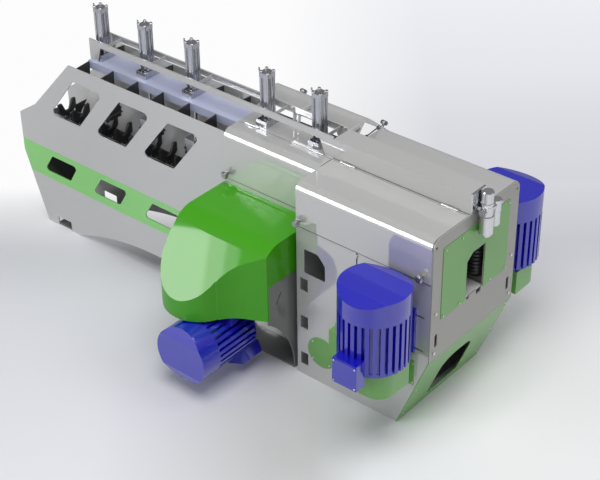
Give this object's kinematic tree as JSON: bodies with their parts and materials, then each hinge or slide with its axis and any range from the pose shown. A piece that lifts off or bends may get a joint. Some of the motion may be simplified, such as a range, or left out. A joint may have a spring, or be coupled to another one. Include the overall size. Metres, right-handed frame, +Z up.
{
  "type": "log profiling saw",
  "caption": "Log profiling saw: a dogged chain feeds logs under pneumatic press rollers, past chipping heads and upright circular saws, inside a steel cabinet.",
  "frame": {"origin": "centre of the four floor anchor holes, on the floor", "axes": "+X along the feed, from the infeed end to the outlet; +Y towards the side with the open cover; +Z up"},
  "size_m": [4.087, 2.3, 1.908],
  "materials": {
    "panel": "gloss",
    "panel_inner": "satin",
    "end_grey": "satin",
    "green": "gloss",
    "motor_blue": "satin",
    "lilac": "satin",
    "dark_paint": "satin",
    "dark_steel": "satin",
    "bright_steel": "satin",
    "cylinder_alu": "satin",
    "bright_alu": "polished",
    "belt_rubber": "matte",
    "knob_plastic": "matte"
  },
  "bodies": {
    "frame": {"feed_side_front": "panel", "feed_side_rear": "panel", "feed_stiffeners": "dark_paint", "chain_bed": "panel_inner", "feed_chain": "dark_steel", "feed_gearmotor": "motor_blue", "top_beam": "lilac", "gantry_frame": "panel", "roof_box": "panel", "saw_side_front": "panel", "saw_side_rear": "panel", "saw_end_plate": "end_grey", "saw_end_cover": "green", "saw_slant_plate": "green", "saw_inner_frame": "panel_inner", "consoles_and_feet": "end_grey", "chip_hoods": "green", "press_cylinders": "cylinder_alu", "chip_motor_housings": "motor_blue", "saw_motor_housings": "motor_blue", "motor_cowls": "motor_blue", "belt_guards": "green", "bearing_units": "end_grey", "drive_belts": "belt_rubber", "air_service_unit": "bright_alu", "plate_bolts": "bright_steel"},
    "press_1": {"press_rod_1": "bright_steel"},
    "roller_1": {"press_roller_1": "dark_steel"},
    "press_2": {"press_rod_2": "bright_steel"},
    "roller_2": {"press_roller_2": "dark_steel"},
    "press_3": {"press_rod_3": "bright_steel"},
    "roller_3": {"press_roller_3": "dark_steel"},
    "press_4": {"press_rod_4": "bright_steel"},
    "roller_4": {"press_roller_4": "dark_steel"},
    "press_5": {"press_rod_5": "bright_steel"},
    "roller_5": {"press_roller_5": "dark_steel"},
    "chip_head_front": {"chip_head_front": "bright_steel"},
    "chip_rotor_front": {"chip_motor_shaft_front": "bright_steel"},
    "saw_arbor_front": {"saw_arbor_front": "bright_steel"},
    "saw_rotor_front": {"saw_motor_shaft_front": "bright_steel"},
    "outfeed_front": {"outfeed_roller_front": "dark_steel"},
    "chip_head_rear": {"chip_head_rear": "bright_steel"},
    "chip_rotor_rear": {"chip_motor_shaft_rear": "bright_steel"},
    "saw_arbor_rear": {"saw_arbor_rear": "bright_steel"},
    "saw_rotor_rear": {"saw_motor_shaft_rear": "bright_steel"},
    "outfeed_rear": {"outfeed_roller_rear": "dark_steel"},
    "chain_drive": {"chain_drive_shaft": "bright_steel"},
    "chain_tail": {"chain_tail_shaft": "bright_steel"},
    "mid_cover_front": {"cover_mid_front": "panel", "knobs_mid_front": "knob_plastic"},
    "mid_cover_rear": {"cover_mid_rear": "panel", "knobs_mid_rear": "knob_plastic"},
    "saw_cover_front": {"cover_saw_front": "panel", "knobs_saw_front": "knob_plastic"},
    "saw_cover_rear": {"cover_saw_rear": "panel", "knobs_saw_rear": "knob_plastic"},
    "strut_tube": {"strut_tube": "dark_steel"},
    "strut_rod": {"strut_rod": "bright_steel"},
    "regulator_knob": {"regulator_knob": "bright_alu"}
  },
  "joints": [
    {"name": "press_slide_1", "type": "slide", "parent": "frame", "child": "press_1", "axis": [0, 0, 1], "range_m": [0, 0.16]},
    {"name": "roller_spin_1", "type": "hinge", "parent": "press_1", "child": "roller_1", "pos_m": [-1.26, 0, 1.06], "axis": [0, 1, 0], "continuous": true},
    {"name": "press_slide_2", "type": "slide", "parent": "frame", "child": "press_2", "axis": [0, 0, 1], "range_m": [0, 0.16]},
    {"name": "roller_spin_2", "type": "hinge", "parent": "press_2", "child": "roller_2", "pos_m": [-0.82, 0, 1.06], "axis": [0, 1, 0], "continuous": true},
    {"name": "press_slide_3", "type": "slide", "parent": "frame", "child": "press_3", "axis": [0, 0, 1], "range_m": [0, 0.16]},
    {"name": "roller_spin_3", "type": "hinge", "parent": "press_3", "child": "roller_3", "pos_m": [-0.375, 0, 1.06], "axis": [0, 1, 0], "continuous": true},
    {"name": "press_slide_4", "type": "slide", "parent": "frame", "child": "press_4", "axis": [0, 0, 1], "range_m": [0, 0.16]},
    {"name": "roller_spin_4", "type": "hinge", "parent": "press_4", "child": "roller_4", "pos_m": [0.302, 0, 1.06], "axis": [0, 1, 0], "continuous": true},
    {"name": "press_slide_5", "type": "slide", "parent": "frame", "child": "press_5", "axis": [0, 0, 1], "range_m": [0, 0.16]},
    {"name": "roller_spin_5", "type": "hinge", "parent": "press_5", "child": "roller_5", "pos_m": [0.748, 0, 1.06], "axis": [0, 1, 0], "continuous": true},
    {"name": "chip_head_spin_front", "type": "hinge", "parent": "frame", "child": "chip_head_front", "pos_m": [0.5, -0.3, 0.995], "axis": [0, 1, 0], "continuous": true},
    {"name": "chip_rotor_spin_front", "type": "hinge", "parent": "frame", "child": "chip_rotor_front", "pos_m": [0.5, -0.6, 0.328], "axis": [0, 1, 0], "continuous": true},
    {"name": "saw_arbor_spin_front", "type": "hinge", "parent": "frame", "child": "saw_arbor_front", "pos_m": [1.5, -0.21, 1], "axis": [0, 0, 1], "continuous": true},
    {"name": "saw_rotor_spin_front", "type": "hinge", "parent": "frame", "child": "saw_rotor_front", "pos_m": [1.76, -0.722, 0.69], "axis": [0, 0, 1], "continuous": true},
    {"name": "outfeed_spin_front", "type": "hinge", "parent": "frame", "child": "outfeed_front", "pos_m": [1.89, -0.17, 1.05], "axis": [0, 0, 1], "continuous": true},
    {"name": "chip_head_spin_rear", "type": "hinge", "parent": "frame", "child": "chip_head_rear", "pos_m": [0.5, 0.3, 0.995], "axis": [0, 1, 0], "continuous": true},
    {"name": "chip_rotor_spin_rear", "type": "hinge", "parent": "frame", "child": "chip_rotor_rear", "pos_m": [0.5, 0.6, 0.328], "axis": [0, 1, 0], "continuous": true},
    {"name": "saw_arbor_spin_rear", "type": "hinge", "parent": "frame", "child": "saw_arbor_rear", "pos_m": [1.59, 0.21, 1], "axis": [0, 0, 1], "continuous": true},
    {"name": "saw_rotor_spin_rear", "type": "hinge", "parent": "frame", "child": "saw_rotor_rear", "pos_m": [1.76, 0.722, 0.69], "axis": [0, 0, 1], "continuous": true},
    {"name": "outfeed_spin_rear", "type": "hinge", "parent": "frame", "child": "outfeed_rear", "pos_m": [1.89, 0.17, 1.05], "axis": [0, 0, 1], "continuous": true},
    {"name": "chain_drive_spin", "type": "hinge", "parent": "frame", "child": "chain_drive", "pos_m": [0.8, 0, 0.75186], "axis": [0, 1, 0], "continuous": true},
    {"name": "chain_tail_spin", "type": "hinge", "parent": "frame", "child": "chain_tail", "pos_m": [-1.8416, 0, 0.75186], "axis": [0, 1, 0], "continuous": true},
    {"name": "mid_cover_front_hinge", "type": "hinge", "parent": "frame", "child": "mid_cover_front", "pos_m": [0.5, -0.097, 1.516], "axis": [-1, 0, 0], "range_deg": [0, 75]},
    {"name": "mid_cover_rear_hinge", "type": "hinge", "parent": "frame", "child": "mid_cover_rear", "pos_m": [0.5, 0.101, 1.605], "axis": [1, 0, 0], "range_deg": [-49, 0]},
    {"name": "saw_cover_front_hinge", "type": "hinge", "parent": "frame", "child": "saw_cover_front", "pos_m": [1.4, -0.097, 1.516], "axis": [-1, 0, 0], "range_deg": [0, 75]},
    {"name": "saw_cover_rear_hinge", "type": "hinge", "parent": "frame", "child": "saw_cover_rear", "pos_m": [1.4, 0.097, 1.516], "axis": [1, 0, 0], "range_deg": [0, 75]},
    {"name": "strut_swing", "type": "hinge", "parent": "frame", "child": "strut_tube", "pos_m": [0.893, 0.18, 1.475], "axis": [1, 0, 0], "range_deg": [-78.81, 0]},
    {"name": "strut_stroke", "type": "slide", "parent": "strut_tube", "child": "strut_rod", "axis": [0, 0.9965, 0.0837], "range_m": [-0.05348, 0]},
    {"name": "regulator_turn", "type": "hinge", "parent": "frame", "child": "regulator_knob", "pos_m": [2.047, 0.011, 1.6], "axis": [0, 0, 1], "continuous": true}
  ],
  "couplings": [
    {"joint": "chip_rotor_spin_front", "follows": "chip_head_spin_front", "ratio": 1},
    {"joint": "saw_rotor_spin_front", "follows": "saw_arbor_spin_front", "ratio": 1},
    {"joint": "chip_rotor_spin_rear", "follows": "chip_head_spin_rear", "ratio": 1},
    {"joint": "saw_rotor_spin_rear", "follows": "saw_arbor_spin_rear", "ratio": 1},
    {"joint": "outfeed_spin_rear", "follows": "outfeed_spin_front", "ratio": -1},
    {"joint": "chain_tail_spin", "follows": "chain_drive_spin", "ratio": 1},
    {"joint": "strut_swing", "follows": "mid_cover_rear_hinge", "ratio": 1.6073},
    {"joint": "strut_stroke", "follows": "mid_cover_rear_hinge", "m_per_rad": 0.062416}
  ]
}
